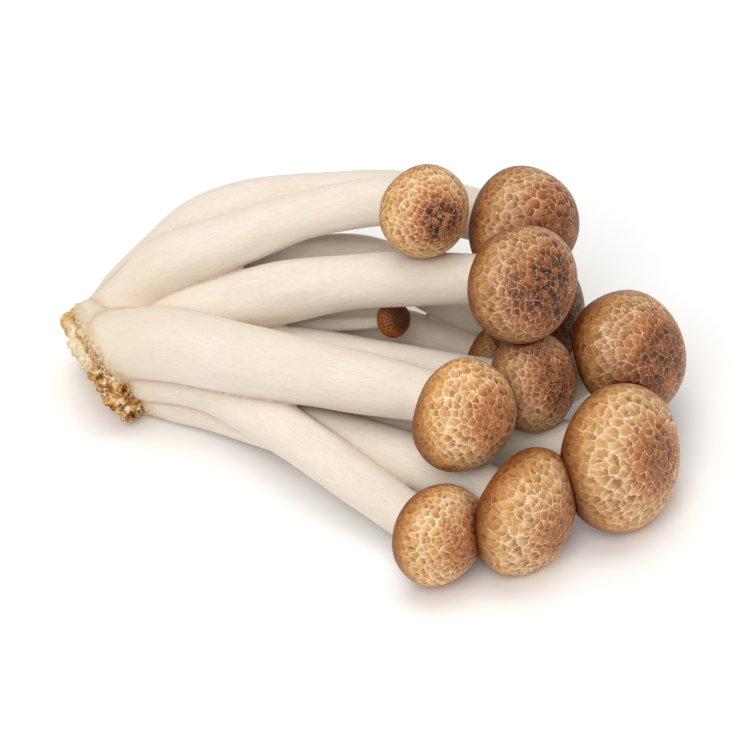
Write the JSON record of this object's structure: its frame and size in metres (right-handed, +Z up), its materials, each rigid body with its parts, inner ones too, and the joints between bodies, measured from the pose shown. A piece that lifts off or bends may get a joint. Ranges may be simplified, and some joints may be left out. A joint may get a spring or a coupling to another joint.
{
  "type": "beech mushroom cluster",
  "caption": "Bunch of brown-capped mushrooms with cream stems that grow from one cut foot, lying on its side.",
  "frame": {"origin": "on the surface that the cluster lies on, under the middle of its box", "axes": "+X from the cut foot towards the caps, +Z up"},
  "size_m": [0.1004, 0.0682, 0.0448],
  "materials": {
    "stem_flesh": "matte",
    "cap_skin": "satin",
    "gills": "matte",
    "crust": "matte"
  },
  "bodies": {
    "root": {"stems_and_foot": "stem_flesh", "crust": "crust", "cap_01": "cap_skin", "cap_02": "cap_skin", "cap_03": "cap_skin", "cap_04": "cap_skin", "cap_05": "cap_skin", "cap_06": "cap_skin", "cap_07": "cap_skin", "cap_08": "cap_skin", "cap_09": "cap_skin", "cap_10": "cap_skin", "cap_11": "cap_skin", "cap_12": "cap_skin", "gills_01": "gills", "gills_02": "gills", "gills_03": "gills", "gills_04": "gills", "gills_05": "gills", "gills_06": "gills", "gills_07": "gills", "gills_08": "gills", "gills_10": "gills", "gills_11": "gills", "gills_12": "gills"}
  },
  "joints": []
}
